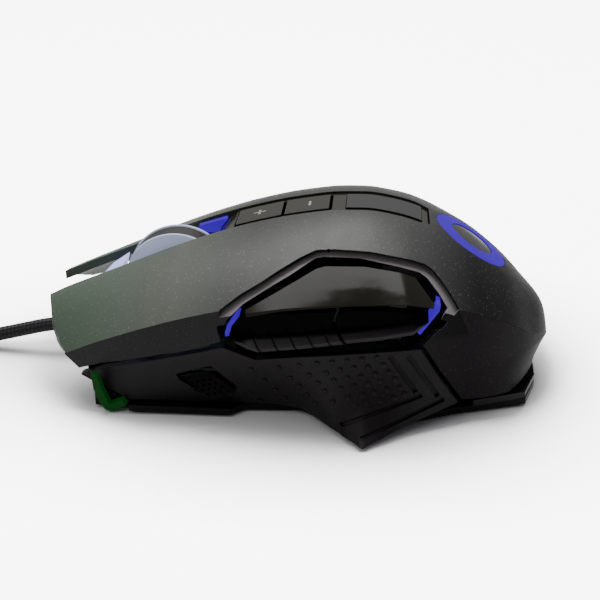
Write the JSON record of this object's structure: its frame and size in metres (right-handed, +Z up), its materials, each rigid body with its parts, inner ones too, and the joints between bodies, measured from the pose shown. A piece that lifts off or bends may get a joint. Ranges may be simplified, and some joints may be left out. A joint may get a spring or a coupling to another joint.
{
  "type": "computer mouse",
  "caption": "Wired ergonomic computer mouse with two sprung keys, a clicking scroll wheel, two spine keys, two thumb buttons, a thumb rest wing and a braided cable.",
  "frame": {"origin": "on the desk under the middle of the sensor, at the centre of the low-friction foot round the sensor", "axes": "+Z up, -X towards the front where the cable leaves, +X towards the palm, -Y the thumb side"},
  "size_m": [0.2547, 0.0854, 0.0426],
  "materials": {
    "shell_grey": "satin",
    "soft_black": "matt",
    "gloss_black": "gloss",
    "gloss_bronze": "gloss",
    "case_black": "satin",
    "light_blue": "satin",
    "light_green": "satin",
    "light_clear": "frosted",
    "hub": "frosted",
    "rubber": "matt",
    "ptfe": "matt",
    "steel": "satin",
    "nickel": "polished",
    "board": "satin",
    "chip": "matt",
    "switch_body": "matt",
    "plunger": "matt",
    "cream": "matt",
    "lens": "clear",
    "braid": "braided"
  },
  "bodies": {
    "case": {"base": "case_black", "board_screws": "steel", "cable_coil": "braid", "cable_connector": "cream", "cable_lead": "braid", "cable_tube": "braid", "case_screws": "steel", "coil_tie": "rubber", "controller_chip": "chip", "dpi_pcb": "board", "dpi_switch_down": "switch_body", "dpi_switch_up": "switch_body", "feet": "ptfe", "front_bumper": "gloss_black", "front_light_strip": "light_green", "indicator_window": "gloss_black", "left_side_panel": "soft_black", "left_switch": "switch_body", "light_diodes": "cream", "main_pcb": "board", "middle_switch": "switch_body", "rear_bumper": "gloss_black", "right_side_panel": "soft_black", "right_switch": "switch_body", "ring_cap": "gloss_black", "ring_light_guide": "light_blue", "sensor_chip": "chip", "sensor_lens": "lens", "side_grille": "case_black", "side_light_front": "light_blue", "side_light_rear": "light_blue", "side_pcb": "board", "side_switch_front": "switch_body", "side_switch_rear": "switch_body", "side_trim": "gloss_bronze", "spine_cover": "gloss_bronze", "strain_relief": "rubber", "top_cover": "soft_black", "usb_plug_body": "case_black", "usb_plug_shell": "nickel", "wheel_light_guide_front": "light_clear", "wheel_light_guide_rear": "light_blue"},
    "left_key": {"left_button": "shell_grey"},
    "right_key": {"right_button": "shell_grey"},
    "wheel_carrier": {"wheel_cradle": "case_black", "wheel_encoder": "switch_body"},
    "wheel": {"wheel_hub": "hub", "wheel_tyre": "rubber", "wheel_axle": "steel"},
    "left_plunger": {"left_switch_plunger": "plunger"},
    "right_plunger": {"right_switch_plunger": "plunger"},
    "middle_plunger": {"middle_switch_plunger": "plunger"},
    "thumb_front": {"side_button_front": "soft_black"},
    "thumb_rear": {"side_button_rear": "soft_black"},
    "thumb_front_plunger": {"side_switch_front_plunger": "plunger"},
    "thumb_rear_plunger": {"side_switch_rear_plunger": "plunger"},
    "dpi_up": {"dpi_up_button": "gloss_bronze"},
    "dpi_down": {"dpi_down_button": "gloss_bronze"},
    "dpi_up_plunger": {"dpi_switch_up_plunger": "plunger"},
    "dpi_down_plunger": {"dpi_switch_down_plunger": "plunger"}
  },
  "joints": [
    {"name": "left_key_press", "type": "hinge", "parent": "case", "child": "left_key", "pos_m": [0.008, 0, 0.039], "axis": [0, -1, 0], "range_deg": [0, 0.65], "stiffness_Nm_per_rad": 2.3},
    {"name": "right_key_press", "type": "hinge", "parent": "case", "child": "right_key", "pos_m": [0.008, 0, 0.039], "axis": [0, -1, 0], "range_deg": [0, 0.65], "stiffness_Nm_per_rad": 2.3},
    {"name": "wheel_click", "type": "hinge", "parent": "case", "child": "wheel_carrier", "pos_m": [-0.0125, 0, 0.012], "axis": [0, -1, 0], "range_deg": [0, 1.2], "stiffness_Nm_per_rad": 0.85},
    {"name": "wheel_spin", "type": "hinge", "parent": "wheel_carrier", "child": "wheel", "pos_m": [-0.0303, 0, 0.0212], "axis": [0, 1, 0], "continuous": true},
    {"name": "thumb_front_press", "type": "slide", "parent": "case", "child": "thumb_front", "axis": [0, 1, 0], "range_m": [0, 0.0006], "stiffness_N_per_m": 1500},
    {"name": "thumb_rear_press", "type": "slide", "parent": "case", "child": "thumb_rear", "axis": [0, 1, 0], "range_m": [0, 0.0006], "stiffness_N_per_m": 1500},
    {"name": "dpi_up_press", "type": "slide", "parent": "case", "child": "dpi_up", "axis": [0, 0, -1], "range_m": [0, 0.0003], "stiffness_N_per_m": 3000},
    {"name": "dpi_down_press", "type": "slide", "parent": "case", "child": "dpi_down", "axis": [0, 0, -1], "range_m": [0, 0.0003], "stiffness_N_per_m": 3000},
    {"name": "left_plunger_press", "type": "slide", "parent": "case", "child": "left_plunger", "axis": [0, 0, -1], "range_m": [0, 0.0006], "stiffness_N_per_m": 0.01, "springref_m": -0.0143},
    {"name": "right_plunger_press", "type": "slide", "parent": "case", "child": "right_plunger", "axis": [0, 0, -1], "range_m": [0, 0.0006], "stiffness_N_per_m": 0.01, "springref_m": -0.0143},
    {"name": "middle_plunger_press", "type": "slide", "parent": "case", "child": "middle_plunger", "axis": [0, 0, -1], "range_m": [0, 0.0004], "stiffness_N_per_m": 0.01, "springref_m": -0.0128},
    {"name": "thumb_front_plunger_press", "type": "slide", "parent": "case", "child": "thumb_front_plunger", "axis": [0, 1, 0], "range_m": [0, 0.00061], "stiffness_N_per_m": 0.01, "springref_m": -0.0002},
    {"name": "thumb_rear_plunger_press", "type": "slide", "parent": "case", "child": "thumb_rear_plunger", "axis": [0, 1, 0], "range_m": [0, 0.00061], "stiffness_N_per_m": 0.01, "springref_m": -0.0002},
    {"name": "dpi_up_plunger_press", "type": "slide", "parent": "case", "child": "dpi_up_plunger", "axis": [0, 0, -1], "range_m": [0, 0.00031], "stiffness_N_per_m": 0.01, "springref_m": -0.0118},
    {"name": "dpi_down_plunger_press", "type": "slide", "parent": "case", "child": "dpi_down_plunger", "axis": [0, 0, -1], "range_m": [0, 0.00031], "stiffness_N_per_m": 0.01, "springref_m": -0.0118}
  ],
  "couplings": [
    {"joint": "left_plunger_press", "follows": "left_key_press", "m_per_rad": 0.046},
    {"joint": "right_plunger_press", "follows": "right_key_press", "m_per_rad": 0.046},
    {"joint": "middle_plunger_press", "follows": "wheel_click", "m_per_rad": 0.017},
    {"joint": "thumb_front_plunger_press", "follows": "thumb_front_press", "ratio": 1},
    {"joint": "thumb_rear_plunger_press", "follows": "thumb_rear_press", "ratio": 1},
    {"joint": "dpi_up_plunger_press", "follows": "dpi_up_press", "ratio": 1},
    {"joint": "dpi_down_plunger_press", "follows": "dpi_down_press", "ratio": 1}
  ]
}
